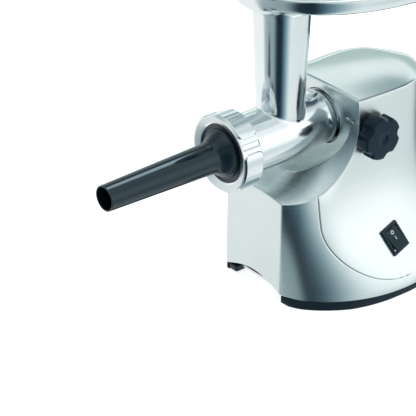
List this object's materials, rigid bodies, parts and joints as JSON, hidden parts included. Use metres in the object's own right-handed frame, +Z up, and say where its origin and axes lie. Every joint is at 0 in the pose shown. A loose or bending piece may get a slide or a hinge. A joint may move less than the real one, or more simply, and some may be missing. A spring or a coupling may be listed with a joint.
{
  "type": "electric meat grinder",
  "caption": "Electric meat grinder with a flared brushed-metal body, polished head, oval tray, lobed ring nut and a black sausage filling nozzle.",
  "frame": {"origin": "on the table, under the middle of the machine's box", "axes": "+Z up; the head and nozzle point to -Y; the lock knob and the switch are on the +X side"},
  "size_m": [0.234, 0.4928, 0.352],
  "materials": {
    "brushed_steel": "finely brushed along the body, satin",
    "front_casting": "brushed satin",
    "black_plastic": "fine moulded texture",
    "switch_black": "moulded, semi-gloss",
    "knob_black": "moulded, satin face and glossy sides",
    "nozzle_black": "moulded, high gloss",
    "cast_aluminium": "polished",
    "steel": "ground",
    "aluminium_dull": "as cast",
    "gear_brass": "machined",
    "white_plastic": "moulded",
    "gearbox_plastic": "moulded",
    "core_steel": "dull",
    "copper": "enamelled wire",
    "rubber": "matt",
    "board_green": "board"
  },
  "bodies": {
    "base": {"front_plate": "front_casting", "front_panel_right": "front_casting", "front_panel_left": "front_casting", "front_ledge": "front_casting", "front_wall": "front_casting", "socket_dish": "front_casting", "side_shell_right": "brushed_steel", "side_shell_left": "brushed_steel", "top_cover": "brushed_steel", "rear_cover": "brushed_steel", "base_skirt": "brushed_steel", "base_strip": "black_plastic", "base_plate": "black_plastic", "base_screws": "steel", "cord_inlet_gland": "black_plastic", "switch_bezel": "switch_black", "switch_case": "switch_black", "neck_socket": "aluminium_dull", "lock_bushing": "aluminium_dull", "output_bearing": "gear_brass", "gearbox_case": "gearbox_plastic", "gearbox_cover": "gearbox_plastic", "gearbox_screws": "steel", "motor_can": "core_steel", "motor_end_cap": "black_plastic", "stator_coils": "copper", "brush_holders": "gear_brass", "motor_mounts": "rubber", "circuit_board": "board_green", "capacitor": "white_plastic"},
    "screw": {"feed_screw": "aluminium_dull", "cutter": "steel"},
    "head": {"grinder_head": "cast_aluminium", "head_lug": "cast_aluminium", "hole_plate": "steel", "feed_screw_washer": "white_plastic"},
    "nozzle": {"nozzle": "nozzle_black"},
    "ring": {"ring_nut": "cast_aluminium"},
    "tray": {"tray": "cast_aluminium"},
    "switch": {"rocker": "switch_black"},
    "pad": {"clamp_pad": "steel"},
    "knob": {"lock_bolt": "steel", "lock_knob": "knob_black"},
    "output": {"output_shaft": "steel", "output_gear": "gear_brass"},
    "second": {"second_shaft": "steel", "second_gear": "gear_brass", "second_pinion": "steel"},
    "first": {"first_shaft": "steel", "first_gear": "white_plastic", "first_pinion": "steel"},
    "rotor": {"rotor_shaft": "steel", "rotor_core": "core_steel", "commutator": "copper", "motor_pinion": "steel", "cooling_fan": "white_plastic"}
  },
  "joints": [
    {"name": "head_slide", "type": "slide", "parent": "base", "child": "head", "axis": [0, -1, 0], "range_m": [0, 0.12]},
    {"name": "screw_spin", "type": "hinge", "parent": "head", "child": "screw", "pos_m": [0, 0.03835, 0.1764], "axis": [0, 1, 0], "continuous": true},
    {"name": "nozzle_slide", "type": "slide", "parent": "head", "child": "nozzle", "axis": [0, -1, 0], "range_m": [0, 0.01205]},
    {"name": "ring_turn", "type": "hinge", "parent": "nozzle", "child": "ring", "pos_m": [0, -0.08165, 0.1764], "axis": [0, -1, 0], "range_deg": [0, 1440]},
    {"name": "tray_lift", "type": "slide", "parent": "head", "child": "tray", "axis": [0, 0, 1], "range_m": [0, 0.06]},
    {"name": "rocker_tilt", "type": "hinge", "parent": "base", "child": "switch", "pos_m": [0.09662, 0.06635, 0.05952], "axis": [-0.1391, 0.9613, 0.238], "range_deg": [0, 18]},
    {"name": "pad_slide", "type": "slide", "parent": "base", "child": "pad", "axis": [1, 0, 0], "range_m": [0, 0.00605]},
    {"name": "knob_turn", "type": "hinge", "parent": "pad", "child": "knob", "pos_m": [0.06, 0.05335, 0.1764], "axis": [1, 0, 0], "range_deg": [0, 1440]},
    {"name": "rotor_spin", "type": "hinge", "parent": "base", "child": "rotor", "pos_m": [0, 0.03835, 0.05715], "axis": [0, 1, 0], "continuous": true},
    {"name": "first_spin", "type": "hinge", "parent": "base", "child": "first", "pos_m": [0, 0.03835, 0.0959], "axis": [0, 1, 0], "continuous": true},
    {"name": "second_spin", "type": "hinge", "parent": "base", "child": "second", "pos_m": [0, 0.03835, 0.1379], "axis": [0, 1, 0], "continuous": true},
    {"name": "output_spin", "type": "hinge", "parent": "base", "child": "output", "pos_m": [0, 0.03835, 0.1764], "axis": [0, 1, 0], "continuous": true}
  ],
  "couplings": [
    {"joint": "first_spin", "follows": "rotor_spin", "ratio": -0.24},
    {"joint": "second_spin", "follows": "rotor_spin", "ratio": 0.065455},
    {"joint": "output_spin", "follows": "rotor_spin", "ratio": -0.024545},
    {"joint": "screw_spin", "follows": "rotor_spin", "ratio": -0.024545},
    {"joint": "nozzle_slide", "follows": "ring_turn", "m_per_rad": 0.00047746},
    {"joint": "pad_slide", "follows": "knob_turn", "m_per_rad": 0.00023873}
  ]
}
